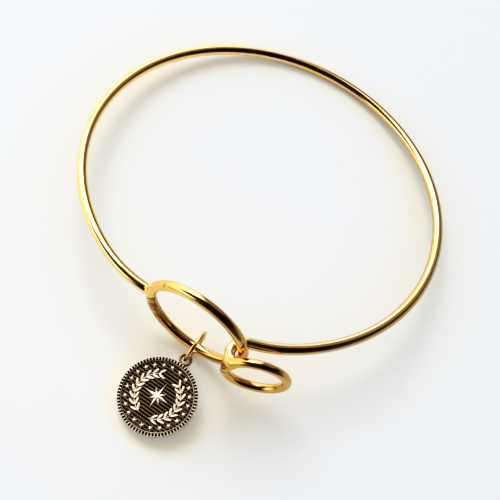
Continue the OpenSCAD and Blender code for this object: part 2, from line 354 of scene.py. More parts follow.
def put_mesh(name, points, quads, triangles, material, values=None):
    """A mesh object from whole arrays of points in millimetres, four-sided and three-sided faces, and named values
    at the points. Faces that enclose a negative volume are turned round, so they point outwards."""
    points = np.asarray(points, float) * 0.001
    fans = np.concatenate([quads[:, [0, 1, 2]], quads[:, [0, 2, 3]], triangles]).astype(int)
    a, b, c = (points[fans[:, k]] for k in range(3))
    if np.einsum("ij,ij->i", a, np.cross(b, c)).sum() < 0:
        quads, triangles = quads[:, ::-1], triangles[:, ::-1]
    sizes = np.concatenate([np.full(len(quads), 4), np.full(len(triangles), 3)])
    mesh = bpy.data.meshes.new(name)
    mesh.vertices.add(len(points))
    mesh.vertices.foreach_set("co", points.astype(np.float32).ravel())
    mesh.loops.add(int(sizes.sum()))
    mesh.loops.foreach_set("vertex_index", np.concatenate([quads.ravel(), triangles.ravel()]).astype(np.int32))
    mesh.polygons.add(len(sizes))
    mesh.polygons.foreach_set("loop_start", (np.cumsum(sizes) - sizes).astype(np.int32))
    mesh.update(calc_edges=True)
    mesh.polygons.foreach_set("use_smooth", np.ones(len(sizes), bool))
    for key, value in (values or {}).items():
        mesh.attributes.new(key, "FLOAT", "POINT").data.foreach_set("value", value.astype(np.float32).ravel())
    if mesh.validate():
        raise RuntimeError(f"{name} has faces that cannot stand")
    mesh.materials.append(material)
    piece = bpy.data.objects.new(name, mesh)
    bpy.context.scene.collection.objects.link(piece)
    return piece


def grid_faces(rows, columns, wrap_rows):
    """The four-sided faces of a grid whose columns go all the way round, and whose rows do too if asked."""
    u, v = np.meshgrid(np.arange(rows if wrap_rows else rows - 1), np.arange(columns), indexing="ij")
    u, v = u.ravel(), v.ravel()
    un, vn = (u + 1) % rows, (v + 1) % columns
    return np.stack([u * columns + v, un * columns + v, un * columns + vn, u * columns + vn], 1)


def pole_faces(ring, pole):
    """Three-sided faces from a ring of points to one point."""
    return np.stack([ring, np.roll(ring, -1), np.full(len(ring), pole)], 1)


def sealed(grid, first, last):
    """A grid with a pole at each end: its points, its four-sided faces and its three-sided ones."""
    rows, columns, _ = grid.shape
    points = np.concatenate([grid.reshape(-1, 3), [first, last]])
    n = rows * columns
    low, high = np.arange(columns), np.arange(n - columns, n)
    return points, grid_faces(rows, columns, False), np.concatenate(
        [pole_faces(low, n)[:, ::-1], pole_faces(high, n + 1)])


NO_TRIANGLES = np.zeros((0, 3), int)


def finish_piece(piece, slot, *nodes):
    """Makes a piece ride on the object and stand for the nodes that it replaces."""
    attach(piece, "root")
    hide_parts(*nodes)


def fresh(*names):
    """Removes pieces of these names, so that making them again leaves one of each."""
    for name in names:
        if name in bpy.data.objects:
            bpy.data.objects.remove(bpy.data.objects[name])


# Shapes


def wire_path(p, step):
    """Points along the wire in the loop's plane, about a step apart, with the unit vectors out of its bends.

    Each arc gives centre + radius * (cos a, sin a) as the angle a goes from its start through its turn. The
    outward vector is (cos a, sin a), turned over on the hook because it bends the other way.
    """
    spots, outs = [], []
    for k, (centre, radius, start, turn) in enumerate(p.arcs):
        count = max(int(abs(turn) * radius / step), 16)
        a = start + turn * np.linspace(0, 1, count + 1)[0 if k == 0 else 1:]
        ray = np.stack([np.cos(a), np.sin(a)], 1)
        spots.append(centre + radius * ray)
        outs.append(-ray if k == 0 else ray)
    return np.concatenate(spots), np.concatenate(outs)


def wire_line(s, p, fine=0.07, coarse=0.3, near=6.0):
    """The wire's middle line as it lies: its points, the vectors out of its bends, the vector up from its plane
    and its radius at each point. The points are a fine step apart near the ends and a coarse one elsewhere. The
    wire thins a little at its very ends, and the hook's tip steps back behind the small ring."""
    spots, outs = wire_path(p, 0.05)
    along = np.concatenate([[0], np.cumsum(np.hypot(*np.diff(spots, axis=0).T))])
    half = np.concatenate([np.arange(0, near, fine), np.arange(near, along[-1] / 2, coarse)])
    at = np.concatenate([half, along[-1] - half[::-1]])
    spots, outs = (np.stack([np.interp(at, along, v[:, 0]), np.interp(at, along, v[:, 1]), 0 * at], 1)
                   for v in (spots, outs))
    outs /= np.linalg.norm(outs, axis=1)[:, None]
    middle, out = at_rest(p, spots), turned(outs, -p.tip, 0)
    hook_room, left_room, thinning = 3.0, 1.5, 0.12
    hook_tip, left_tip = 1 - smooth(at / hook_room), 1 - smooth((along[-1] - at) / left_room)
    middle += hook_tip[:, None] * s.rings.set_back * np.array([-np.sin(p.small_turn), np.cos(p.small_turn), 0])
    radius = p.wire_r * (1 - thinning * np.maximum(hook_tip, left_tip))
    return middle, out, turned(np.array([0, 0, 1.0]), -p.tip, 0), radius


def from_line(points, line, radius):
    """How far points are outside a round wire whose middle line and radius are given point by point."""
    return (np.sqrt(((points[:, None, :] - line[None]) ** 2).sum(2)) - radius[None]).min(1)


def from_ring(points, centre, turn, radius, thick):
    """How far points are outside an upright ring, whose wire's radius is a function of the angle round it."""
    v = turned(points - centre, -turn, 2)
    return np.hypot(np.hypot(v[:, 0], v[:, 2]) - radius, v[:, 1]) - thick(np.arctan2(v[:, 2], v[:, 0]))


def soldered(middles, rays, own, other, soft, room=1.4, steps=70):
    """How far out along its rays a tube's surface lies where solder joins it to another tube.

    Going out from the tube's own radius, it is the first place where the soft least of two distances is zero: a
    from this tube's surface and b from the other's. The soft least is min(a, b) - k h^3 / 6, where k is the
    softness and h = max(k - |a - b|, 0) / k. Where the other tube is the nearer one, this surface lies a hair
    lower, and past the joint 0.1 mm lower, so that only one of the two shows. It is looked for over a room of
    1.4 mm, in small steps, and between two steps by a straight line.
    """
    hair, hair_room, hidden, hidden_room = 0.01, 0.15, 0.1, 0.3
    reach = own.copy()
    near = np.flatnonzero(other(middles + rays * own[:, None]) < soft)
    start, way, base = middles[near], rays[near], own[near]
    out, sink = np.zeros(len(near)), np.zeros(len(near))
    done, last, step = np.zeros(len(near), bool), np.full(len(near), -soft), room / steps
    for a in np.arange(0, steps + 1) * step:
        b = other(start + way * (base + a)[:, None])
        value = np.minimum(a, b) - soft / 6 * (np.maximum(soft - np.abs(a - b), 0) / soft) ** 3
        found = ~done & (value >= 0)
        out[found] = a - step * value[found] / np.maximum(value[found] - last[found], 1e-9)
        past = a - b[found]
        sink[found] = hair * smooth(past / hair_room) + hidden * smooth(past / hidden_room)
        done, last = done | found, value
    reach[near] = base + np.maximum(out, 0) - sink
    return reach


def wire_surface(s, p, around=48, end_points=100):
    """The wire: a circle carried along its middle line, with solder at its two ends, which is looked for over that
    many points of the line."""
    middle, out, up, radius = wire_line(s, p)
    t = np.linspace(0, 2 * np.pi, around, endpoint=False)[None, :, None]
    rays = np.cos(t) * out[:, None] + np.sin(t) * up
    reach = np.repeat(radius, around)
    spots = np.repeat(middle, around, 0)
    ends = end_points * around
    for part, ring, soft in ((slice(0, ends), p.small_ring, s.rings.small_fillet),
                             (slice(-ends, None), p.big_ring, s.rings.big_fillet)):
        reach[part] = soldered(spots[part], rays.reshape(-1, 3)[part], reach[part],
                               lambda q: from_ring(q, *ring), soft)
    grid = middle[:, None] + rays * reach.reshape(-1, around, 1)
    return sealed(grid, middle[0], middle[-1])


def ring_surface(radius, thick, seam, width, depth, joined=None, pit=None, around=48, count=320):
    """A ring of round wire, upright in XZ, with its seam at an angle of the ring.

    At angle a of the ring and b of the wire, the point is ((R + r cos b) cos a, r sin b, (R + r cos b) sin a).
    The wire's radius r is thick(a), or more where it is joined to another wire, less depth * exp(-(x / width)^2),
    where x is the distance along the ring from the seam, and less a round dent at a pit, which is given by its
    two angles and its radius. The angles crowd together at the seam and at the pit.
    """
    pit_at, pit_side, pit_r = pit or (0, 0, 0)
    pit_depth, pit_dirt = 0.4, 0.6  # the depth as a share of the pit's radius, and how dirty it is
    a = np.linspace(0, 2 * np.pi, count, endpoint=False)
    for at, room in ((seam, 6 * width), (pit_at, 4 * pit_r))[:2 if pit else 1]:
        near = at + np.linspace(-1, 1, 41) ** 3 * room / radius
        a = np.concatenate([a[np.abs(apart(a, at)) > 1.08 * room / radius], near % (2 * np.pi)])
    a = np.sort(a)[:, None]
    b = np.linspace(0, 2 * np.pi, around, endpoint=False)[None, :]
    if pit:
        # The angles round the wire are a little closer at the pit too
        b = b + 0.5 * np.sin(pit_side - b)
    r = thick(a) + 0 * b
    middle = np.stack([radius * np.cos(a), 0 * a, radius * np.sin(a)], 2)
    rays = np.stack([np.cos(b) * np.cos(a), np.sin(b) + 0 * a, np.cos(b) * np.sin(a)], 2)
    if joined:
        starts = np.broadcast_to(middle, rays.shape).reshape(-1, 3)
        r = joined(starts, rays.reshape(-1, 3), r.ravel()).reshape(r.shape)
    dirt = np.exp(-((apart(a, seam) * radius / width) ** 2)) + 0 * b
    r = r - depth * dirt
    if pit:
        dent = np.exp(-((apart(a, pit_at) * radius) ** 2 + (apart(b, pit_side) * r) ** 2) / pit_r**2)
        dirt, r = np.maximum(dirt, pit_dirt * dent), r - pit_depth * pit_r * dent
    grid = middle + rays * r[..., None]
    rows, columns, _ = grid.shape
    return grid.reshape(-1, 3), grid_faces(rows, columns, True), NO_TRIANGLES, dirt.ravel()


def star_gauge(x, y, points, tip, dip):
    """How far out a place is in a pointed star, 0 at the middle and 1 on the outline, and how close it is to a
    point's ridge, 1 on it and 0 on the outline. The angle is folded into half a point, where the outline is
    the straight line from the tip to the dip."""
    half = np.pi / points
    a = np.abs((np.arctan2(x, y) + half) % (2 * half) - half)
    along, across = np.hypot(x, y) * np.cos(a), np.hypot(x, y) * np.sin(a)
    rise, run = dip * np.sin(half), tip - dip * np.cos(half)
    ridge = 1 - across * run / (rise * np.maximum(tip - along, 1e-3))
    return (rise * along + run * across) / (rise * tip), np.clip(ridge, 0, 1)


def medal_sizes(s, p):
    """Radii of the medal's zones from the rim inwards, down to the circles of the stars' middles and of the stem, and
    how far a leaf's middle is off the stem."""
    m, f = s.medal, s.motif
    z = SimpleNamespace(tooth_out=p.medal_r - m.band, field_z=p.face_z - m.depth)
    z.tooth_in = z.tooth_out - m.tooth
    z.field = z.tooth_in - m.bead
    z.star_at = z.field - f.star_clear - f.star
    z.leaf_off = f.leaf / 2 * np.sin(f.leaf_tilt) + f.stem / 2
    z.stem = z.star_at - f.star - f.wreath_clear - 2 * z.leaf_off
    return z


def lines_height(m, y):
    """The field's raised lines along X, each a soft step up and down by the distance from the line's middle."""
    flank = 0.12
    off = np.abs(y - m.line_pitch * np.round(y / m.line_pitch))
    return m.line_height * smooth((m.line_width / 2 - off) / flank + 0.5)


def stars_height(f, z, x, y):
    """The ring of stars, whose angle is folded onto one star: a low pyramid, 1 in the middle and 0.65 at the
    outline, with a ridge along each point and a steep side past the outline."""
    step = 2 * np.pi / f.stars
    r, a = np.hypot(x, y), np.arctan2(-x, y) % (2 * np.pi)
    a = a - (np.floor(a / step) + 0.5) * step
    points, steep, fall, crease = 5, 5, 0.35, 0.2
    g, ridge = star_gauge(r * np.sin(a), r * np.cos(a) - z.star_at, points, f.star, f.star * f.star_dip)
    side = np.clip((1 + 1 / steep - g) * steep, 0, 1)
    return f.height * side * (1 - fall * np.clip(g, 0, 1)) * (1 - crease + crease * ridge)


def wreath_height(f, z, x, y):
    """Two branches of laurel, the left one the right one seen in a mirror.

    A stem is a half-round sqrt(1 - (u / w)^2) along a circle. A leaf is the room between two arcs that meet at
    its tips, and is a dome sqrt(1 - (u / w)^2) across its half-width w, with a groove exp(-(u / 0.035)^2) for its
    rib. The leaves stand in pairs along the stem, turned by the tilt to each side.
    """
    stem_top, stem_ends, leaf_tips = 0.75, 0.03, 0.06
    rib_depth, rib_width, rib_reach, rib_ends = 0.3, 0.035, 0.44, 0.1
    right, r = np.abs(x), np.hypot(x, y)
    arc = (f.leaf**2 + f.leaf_width**2) / (4 * f.leaf_width)
    a = np.arctan2(y, right) + np.pi / 2
    on_stem = smooth((a - f.foot) / stem_ends) * smooth((np.pi - f.lead - a) / stem_ends)
    off = np.clip(np.abs(r - z.stem) / (f.stem / 2), 0, 1)
    top = stem_top * f.height * on_stem * np.sqrt(1 - off**2)
    for i in range(1, f.pairs + 1):
        turn = f.foot + (np.pi - f.foot - f.lead) / f.pairs * i - np.pi / 2
        along, across = right * np.cos(turn) + y * np.sin(turn), y * np.cos(turn) - right * np.sin(turn)
        for side in (-1, 1):
            dx, t = along - z.stem - side * z.leaf_off, -side * f.leaf_tilt
            u, v = dx * np.cos(t) + across * np.sin(t), across * np.cos(t) - dx * np.sin(t)
            w = np.sqrt(np.maximum(arc**2 - v**2, 0)) - (arc - f.leaf_width / 2)
            ratio = np.where(w > 0, np.abs(u) / np.maximum(w, 1e-6), 2)
            dome = np.sqrt(np.clip(1 - ratio**2, 0, 1)) * smooth(w / leaf_tips)
            rib = rib_depth * np.exp(-((u / rib_width) ** 2)) * smooth((f.leaf * rib_reach - np.abs(v)) / rib_ends)
            top = np.maximum(top, f.height * dome * (1 - rib))
    return top


def rose_height(f, x, y):
    """The compass rose: four short points between four long ones, each a pyramid with a ridge along it, and a
    round boss sqrt(1 - (r / R)^2) in the middle."""
    c, waist, boss_r, top = np.sqrt(0.5), f.rose_short / 3, 0.36, 0
    ridge_top, side_foot, side_width = 0.94, 1.08, 0.12
    # Each four points: their reach, how high their outline is, and the axes that they lie along
    for reach, low, gx, gy in ((f.rose_short, 0.4, (x - y) * c, (x + y) * c), (f.rose_long, 0.5, x, y)):
        g, ridge = star_gauge(gx, gy, 4, reach, waist)
        top = np.maximum(top, f.height * (low + (ridge_top - low) * ridge) * smooth((side_foot - g) / side_width))
    return np.maximum(top, f.height * np.sqrt(np.clip(1 - (np.hypot(x, y) / boss_r) ** 2, 0, 1)))


def motif_height(s, z, x, y):
    """Height of the medal's picture above its field at each place, the greatest of its parts' heights."""
    top = np.maximum(lines_height(s.medal, y), stars_height(s.motif, z, x, y))
    return np.maximum(np.maximum(top, wreath_height(s.motif, z, x, y)), rose_height(s.motif, x, y))


def spread(h, reach):
    """The heights softened by a moving average over a square, done along each axis in turn."""
    for axis in (0, 1):
        n = 2 * reach + 1
        padded = np.pad(h, [(reach + 1, reach) if k == axis else (0, 0) for k in (0, 1)], mode="edge")
        total = np.cumsum(padded, axis=axis)
        h = (np.take(total, np.arange(n, total.shape[axis]), axis) - np.take(
            total, np.arange(0, total.shape[axis] - n), axis)) / n
    return h


def field_surface(s, p, z, pitch=0.04):
    """The medal's field: the motif's heights on a square grid, cut to a disc and closed to a point below it. Its
    value called relief is 0 in the recesses and 1 on the raised parts, and grows with the height and with how far
    a place stands above what is round it."""
    # It runs under a share of the thin line, and its skirt goes down to the point
    tucked, skirt = 0.4, 0.3
    by_height, by_rise, dark = 1.3, 0.3, 0.09
    edge = z.field + s.medal.bead * tucked
    n = int(edge / pitch) + 2
    x, y = np.meshgrid(np.arange(-n, n + 1) * pitch, np.arange(-n, n + 1) * pitch, indexing="ij")
    h = motif_height(s, z, x, y)
    relief = np.clip((by_height * h + by_rise * (h - spread(h, reach=5))) / s.motif.height - dark, 0, 1)
    side = 2 * n + 1
    inside = (np.hypot(x, y) < edge).ravel()
    k = (np.arange(2 * n)[:, None] * side + np.arange(2 * n)[None, :]).ravel()
    quads = np.stack([k, k + side, k + side + 1, k + 1], 1)
    quads = quads[inside[quads].all(1)]
    used, quads = np.unique(quads, return_inverse=True)
    quads = quads.reshape(-1, 4)
    # The edges that only one face has make the rim, and go down to one point
    a, b = quads.ravel(), np.roll(quads, -1, 1).ravel()
    total = len(used)
    lone = ~np.isin(a * total + b, b * total + a)
    triangles = np.stack([b[lone], a[lone], np.full(lone.sum(), total)], 1)
    points = np.stack([x.ravel(), y.ravel(), z.field_z + h.ravel()], 1)[used]
    points = np.concatenate([points, [[0, 0, z.field_z - skirt]]])
    return on_medal(s, p, points), quads, triangles, np.append(relief.ravel()[used], 0)


def rim_surface(s, p, z, samples=12):
    """The medal's rim, side and back: a profile (r, z) turned about the medal's axis.

    From the inside: the thin line is rounded, the teeth zone rises by the half-round sqrt(1 - (x / w)^2) of each
    tooth over its arc, the plain band rounds over into the side, and the side rounds over into the plain back.
    """
    m = s.medal
    count = int(np.pi / np.arcsin(m.tooth_pitch / 2 / z.tooth_out))
    t = np.linspace(0, 2 * np.pi, count * samples, endpoint=False)[None, :]
    # The profile's parts, each as radii and as heights above the field
    u, a = np.linspace(-1, 1, 9), np.linspace(0, np.pi / 2, 8)
    band_round, side_round, tooth_round, slope = m.band * 0.8, 0.26, 0.09, 0.015
    band_top, tooth_top = 0.96 * m.depth, 0.97 * m.depth
    by_height, dark, half_worn = 1.6, 0.62, 0.62
    back = -2 * p.face_z + m.depth
    line_r = (z.field + z.tooth_in) / 2 + u * m.bead / 2
    line_z = m.depth * np.interp(u, [-1, -0.75, 0.5, 0.75, 1], [0, 0.6, 0.88, 0.82, 0.45])
    teeth_r = np.linspace(z.tooth_in, z.tooth_out, 13)[1:-1]
    band_z = band_top - band_round * (1 - np.cos(a))
    parts = (
        ([z.field - 0.12], [-0.15]),
        (line_r, line_z),
        (teeth_r, 0 * teeth_r),
        ([z.tooth_out, z.tooth_out + slope], [0.3 * m.depth, 0.93 * m.depth]),
        (p.medal_r - band_round + band_round * np.sin(a[1:]), band_z[1:]),
        ((p.medal_r - side_round + side_round * np.sin(a))[::-1], (back + side_round * (1 - np.cos(a)))[::-1]),
        ([p.medal_r * 0.8, p.medal_r * 0.4], [back + slope, back + slope]),
    )
    r, lift = (np.concatenate(part)[:, None] for part in zip(*parts))
    starts = np.cumsum([0] + [len(part[0]) for part in parts])
    line, teeth = slice(starts[1], starts[2]), slice(starts[2], starts[3])
    outer, side = slice(starts[3], starts[5]), slice(starts[5], None)
    # A tooth's height is the product of a share by radius, rounded at its two ends, and a share by angle
    tooth = np.zeros_like(r)
    ends = np.clip(np.minimum(teeth_r - z.tooth_in, z.tooth_out - teeth_r) / tooth_round, 0, 1)
    tooth[teeth, 0] = np.sqrt(1 - (1 - ends) ** 2)
    tooth[starts[3]] = 1
    phase = np.abs((t * count / (2 * np.pi) + 0.5) % 1 - 0.5) * 2 * np.pi * (z.tooth_in + z.tooth_out) / 2 / count
    bar = np.sqrt(np.clip(1 - (phase / (m.tooth_width / 2)) ** 2, 0, 1))
    h = np.where(tooth > 0, np.maximum(lift, tooth_top * tooth * bar), lift + 0 * t)
    grid = np.stack([r * np.cos(t), r * np.sin(t), z.field_z + h], 2)
    # Patina lies between the teeth and thins out over the band's edge. The line, the side and the back are half worn
    relief = np.clip(by_height * h / m.depth - dark, 0, 1)
    relief[line] = np.array([0, 0.35, 0.5, 0.62, 0.62, 0.6, 0.5, 0.25, 0.1])[:, None]
    edge = band_z[3]
    fade = smooth((lift[outer] < edge) * (edge - lift[outer]) / (edge - band_z[-1]))
    relief[outer] = (0.15 + 0.65 * bar) * (1 - fade) + 0.66 * fade
    relief[side] = half_worn
    points, quads, triangles = sealed(grid, [0, 0, z.field_z - 0.5], [0, 0, -p.face_z + slope])
    return on_medal(s, p, points), quads, triangles, np.append(relief.ravel(), [0, 0.6])


def eye_surface(s, p, around=40, count=96):
    """The medal's eye: a rounded oblong carried round a circle. The oblong's corner follows sign(cos) |cos|^0.6
    across and sign(sin) |sin|^0.6 through the thickness."""
    m = s.medal
    middle, half = (m.eye + m.eye_hole) / 4, (m.eye - m.eye_hole) / 4
    a = np.linspace(0, 2 * np.pi, count, endpoint=False)[:, None]
    b = np.linspace(0, 2 * np.pi, around, endpoint=False)[None, :]
    soft = lambda v: np.sign(v) * np.abs(v) ** 0.6
    r = middle + half * soft(np.cos(b)) + 0 * a
    h = m.eye_thickness / 2 * soft(np.sin(b)) + 0 * a
    grid = np.stack([r * np.cos(a), p.eye_reach + r * np.sin(a), h], 2)
    # Worn most on its face and its outside, and dark on its back and in its hole
    relief = np.clip(0.24 + 0.3 * np.sin(b) + 0.12 * np.cos(b) + 0 * a, 0, 1)
    return on_medal(s, p, grid.reshape(-1, 3)), grid_faces(count, around, True), NO_TRIANGLES, relief


# Finishes


def node(tree, kind, inputs=None, **options):
    """Adds a node, sets its own options and its inputs. An input given as a socket is linked to it."""
    made = tree.nodes.new(kind)
    for key, value in options.items():
        setattr(made, key, value)
    for key, value in (inputs or {}).items():
        if isinstance(value, bpy.types.NodeSocket):
            tree.links.new(value, made.inputs[key])
        else:
            made.inputs[key].default_value = value
    return made


def blank(name):
    """A material with an empty tree, its shader and its output."""
    material = bpy.data.materials.get(name)
    if material:
        bpy.data.materials.remove(material)
    material = bpy.data.materials.new(name)
    material.use_nodes = True
    material.node_tree.nodes.clear()
    shader = node(material.node_tree, "ShaderNodeBsdfPrincipled")
    out = node(material.node_tree, "ShaderNodeOutputMaterial")
    material.node_tree.links.new(shader.outputs[0], out.inputs[0])
    return material, material.node_tree, shader


def rgba(c):
    """A colour that hides all that is behind it."""
    return (*c, 1.0)


def mixed(tree, factor, low, high):
    """A colour between two colours."""
    return node(tree, "ShaderNodeMix", {0: factor, 6: low, 7: high}, data_type="RGBA").outputs[2]


def worked_out(tree, operation, a, b):
    """A number worked out from two numbers."""
    return node(tree, "ShaderNodeMath", {0: a, 1: b}, operation=operation).outputs[0]


def point_value(tree, name):
    """The value of that name at the piece's points."""
    return node(tree, "ShaderNodeAttribute", attribute_name=name).outputs["Fac"]


def ranged(tree, value, low, high, to_low, to_high):
    """A number mapped from one range to another, and held at its ends."""
    return node(tree, "ShaderNodeMapRange", {0: value, 1: low, 2: high, 3: to_low, 4: to_high}).outputs[0]


def noise(tree, where, scale, detail=2.0, rough=0.5):
    """Soft random spots from 0 to 1, as many to the metre as the scale says."""
    return node(tree, "ShaderNodeTexNoise", {"Vector": where, "Scale": scale, "Detail": detail,
                                             "Roughness": rough}).outputs[0]


def bumped(tree, shader, height, strength, distance):
    """Makes the surface uneven by a height of up to that distance."""
    bump = node(tree, "ShaderNodeBump", {"Strength": strength, "Distance": distance, "Height": height})
    tree.links.new(bump.outputs[0], shader.inputs["Normal"])


def polished_gold(c, light, deep, name):
    """Polished yellow gold plate: two close golds in soft clouds, spots of brown tarnish where a piece has the value
    tarnish, a faint unevenness from drawing and polishing, and dirt in the seams."""
    material, tree, shader = blank(name)
    where = node(tree, "ShaderNodeTexCoord").outputs["Object"]
    clouds = ranged(tree, noise(tree, where, 160.0), 0.4, 0.65, 0.0, 1.0)
    spots = ranged(tree, noise(tree, where, 1100.0, 4.0, 0.6), 0.36, 0.58, 0.35, 1.0)
    brown = worked_out(tree, "MULTIPLY", spots, point_value(tree, "tarnish"))
    gold = mixed(tree, brown, mixed(tree, clouds, rgba(light), rgba(deep)), rgba(c.tarnish))
    dirt = point_value(tree, "seam")
    tree.links.new(mixed(tree, dirt, gold, rgba(c.seam)), shader.inputs["Base Color"])
    shader.inputs["Metallic"].default_value = 1.0
    haze = ranged(tree, noise(tree, where, 900.0, 3.0), 0.35, 0.75, c.gold_roughness, c.gold_roughness * 2.0)
    tree.links.new(worked_out(tree, "MAXIMUM", haze, dirt), shader.inputs["Roughness"])
    bumped(tree, shader, noise(tree, where, 420.0, 1.0), 0.15, 0.00004)
    return material


def antique_gold(c, bright, soft, name):
    """Antiqued pale gold, by the value relief: dark patina low down, dull gold, and worn bright on the raised parts,
    with ragged edges between them and a grain from the casting."""
    material, tree, shader = blank(name)
    where = node(tree, "ShaderNodeTexCoord").outputs["Object"]
    ragged = ranged(tree, noise(tree, where, 1700.0, 4.0, 0.6), 0.3, 0.7, -0.08, 0.08)
    worn = worked_out(tree, "ADD", point_value(tree, "relief"), ragged)
    low = mixed(tree, ranged(tree, worn, 0.12, 0.45, 0.0, 1.0), rgba(c.patina), rgba(c.dull))
    gold = mixed(tree, ranged(tree, worn, 0.45, 0.75, 0.0, 1.0), low, rgba(bright))
    tree.links.new(gold, shader.inputs["Base Color"])
    shader.inputs["Metallic"].default_value = 1.0
    tree.links.new(ranged(tree, worn, 0.1, 0.8, 0.6, soft), shader.inputs["Roughness"])
    bumped(tree, shader, noise(tree, where, 5200.0, 3.0, 0.6), 0.35, 0.00002)
    return material


def pale_sheet(c, name="pale sheet"):
    """A smooth pale sheet, with a painted warm glow where the gold is close, as if lit by the gold, less so right
    under it.

    In reflections alone, it is in shade well in front of the bangle, past the edge of the picture, a little dimmer
    at the right, and a little brighter at the left, nearer the window.
    """
    material, tree, shader = blank(name)
    where = node(tree, "ShaderNodeTexCoord").outputs["Object"]
    x, y, _ = node(tree, "ShaderNodeSeparateXYZ", {0: where}).outputs
    glint = node(tree, "ShaderNodeLightPath").outputs["Is Glossy Ray"]
    front, right = ranged(tree, y, -0.062, -0.092, 0.0, 1.0), ranged(tree, x, -0.01, 0.05, 0.0, 0.5)
    shade = worked_out(tree, "MULTIPLY", worked_out(tree, "MAXIMUM", front, right), glint)
    # Painted glow: where ambient occlusion finds the gold close, the sheet's colour turns warm as if lit by light off
    # the gold, and less so right under it
    clear = node(tree, "ShaderNodeAmbientOcclusion", {"Distance": 0.016}, samples=16).outputs["AO"]
    near, under = ranged(tree, clear, 0.98, 0.7, 0.0, 0.85), ranged(tree, clear, 0.8, 0.6, 1.0, 0.15)
    glow_painted = mixed(tree, worked_out(tree, "MULTIPLY", near, under), rgba(c.sheet), rgba(c.painted_gold_glow))
    tree.links.new(mixed(tree, shade, glow_painted, (0.08, 0.06, 0.045, 1.0)), shader.inputs["Base Color"])
    shine = worked_out(tree, "MULTIPLY", ranged(tree, x, 0.01, -0.05, 0.0, 0.35), glint)
    tree.links.new(shine, shader.inputs["Emission Strength"])
    for key, value in (("Emission Color", (1.0, 0.97, 0.9, 1.0)), ("Roughness", 0.6), ("Specular IOR Level", 0.25)):
        shader.inputs[key].default_value = value
    return material


def pale_room(t):
    """The room round the bangle, by direction.

    Reflections show a bright wall from the back round to the left, in a low and a high part with soft slanting
    edges, a pale patch high up at the back, a dim horizon, and dark in front and overhead. The sheet's own light
    is an even fill, and the camera sees plain pale.
    """
    world = bpy.data.worlds.get("room") or bpy.data.worlds.new("room")
    world.use_nodes = True
    tree = world.node_tree
    tree.nodes.clear()
    where = node(tree, "ShaderNodeTexCoord").outputs["Generated"]
    _, y, up = node(tree, "ShaderNodeSeparateXYZ", {0: where}).outputs

    def beyond(way, low, high):
        """0 where the direction's part along a way is under low, 1 where it is over high."""
        along = node(tree, "ShaderNodeVectorMath", {0: where, 1: way}, operation="DOT_PRODUCT").outputs["Value"]
        return ranged(tree, along, low, high, 0.0, 1.0)

    daylight = lambda level: (level * 0.97, level * 0.985, level, 1.0)
    unlit, down = (0.009, 0.002, 0.001), (0.0, 0.0, -1.0)
    fall = node(tree, "ShaderNodeValToRGB", {0: up})
    stops = ((0.0, (0.5, 0.47, 0.43)), (0.1, (0.34, 0.31, 0.27)), (0.27, (0.17, 0.125, 0.09)),
             (0.48, (0.03, 0.01, 0.004)), (0.75, unlit))
    ramp = fall.color_ramp.elements
    for k, (at, tint) in enumerate(stops):
        stop = ramp[k] if k < len(ramp) else ramp.new(at)
        stop.position, stop.color = at, rgba(tint)
    lit = mixed(tree, ranged(tree, y, -0.5, 0.1, 0.1, 1.0), rgba(unlit), fall.outputs[0])
    lit = mixed(tree, beyond((0.299, 0.641, 0.707), 0.9, 0.98), lit, (0.3, 0.27, 0.22, 1.0))
    low = worked_out(tree, "MULTIPLY", beyond((-0.86, 0.51, 0.0), -0.03, 0.07), beyond(down, -0.56, -0.4))
    high = worked_out(tree, "MULTIPLY", beyond((-0.139, 0.99, -0.25), -0.11, 0.0), beyond(down, -0.965, -0.9))
    wall = worked_out(tree, "MULTIPLY", beyond((-1.0, 0.0, 0.0), 0.0, 0.1), worked_out(tree, "MAXIMUM", low, high))
    lit = mixed(tree, wall, lit, daylight(t.wall))
    ray = node(tree, "ShaderNodeLightPath").outputs
    lit = mixed(tree, ray["Is Diffuse Ray"], lit, daylight(t.fill))
    lit = mixed(tree, ray["Is Camera Ray"], lit, (0.9, 0.905, 0.915, 1.0))
    back = node(tree, "ShaderNodeBackground", {"Color": lit, "Strength": 1.0})
    tree.links.new(back.outputs[0], node(tree, "ShaderNodeOutputWorld").inputs[0])
    return world


# Stage


def placed(item, place, axes):
    """Puts an object at a place in metres, with its own three directions given as the columns of a matrix."""
    item.matrix_world = Matrix.Translation(place) @ Matrix(axes.tolist()).to_4x4()
    bpy.context.scene.collection.objects.link(item)


def facing_middle(place):
    """The directions of a lamp that shines from a place at the origin, with its sides level."""
    back = np.array(place) / np.linalg.norm(place)
    side = np.cross([0, 0, 1.0], back)
    side /= np.linalg.norm(side)
    return np.stack([side, np.cross(back, side), back], 1)


def add_lamp(name, place, axes, watts, tint, **shape):
    """A lamp that the camera doesn't see."""
    lamp = bpy.data.lights.new(name, "AREA")
    for key, value in shape.items():
        setattr(lamp, key, value)
    lamp.energy, lamp.color = watts, tint
    light = bpy.data.objects.new(name, lamp)
    light.visible_camera = False
    placed(light, place, axes)
    return light


def more_contrast(view, contrast):
    """A little more contrast, as a print has: a shade s from 0 to 1 becomes s - contrast * sin(2 pi s)."""
    view.use_curve_mapping = True
    curve = view.curve_mapping.curves[3]
    shade = np.linspace(0, 1, 11)
    print_shade = shade - contrast * np.sin(2 * np.pi * shade)
    linear = lambda v: np.where(v < 0.04045, v / 12.92, ((v + 0.055) / 1.055) ** 2.4)
    for x, y in zip(linear(shade)[1:-1], linear(print_shade)[1:-1]):
        curve.points.new(float(x), float(y))
    view.curve_mapping.update()


# Pieces


class BANGLE_OT_bend_wire(Operator):
    """Bends the wire into the loop and the hook"""

    bl_idname = "bangle.bend_wire"
    bl_label = "Wire"
    bl_options = {"REGISTER", "UNDO"}

    def execute(self, context):
        s, p = lay_out()
        fresh("wire")
        c = s.finishes
        piece = put_mesh("wire", *wire_surface(s, p), polished_gold(c, c.gold, c.warm_gold, "wire gold"))
        finish_piece(piece, "polished_gold", "bangle")
        return {"FINISHED"}


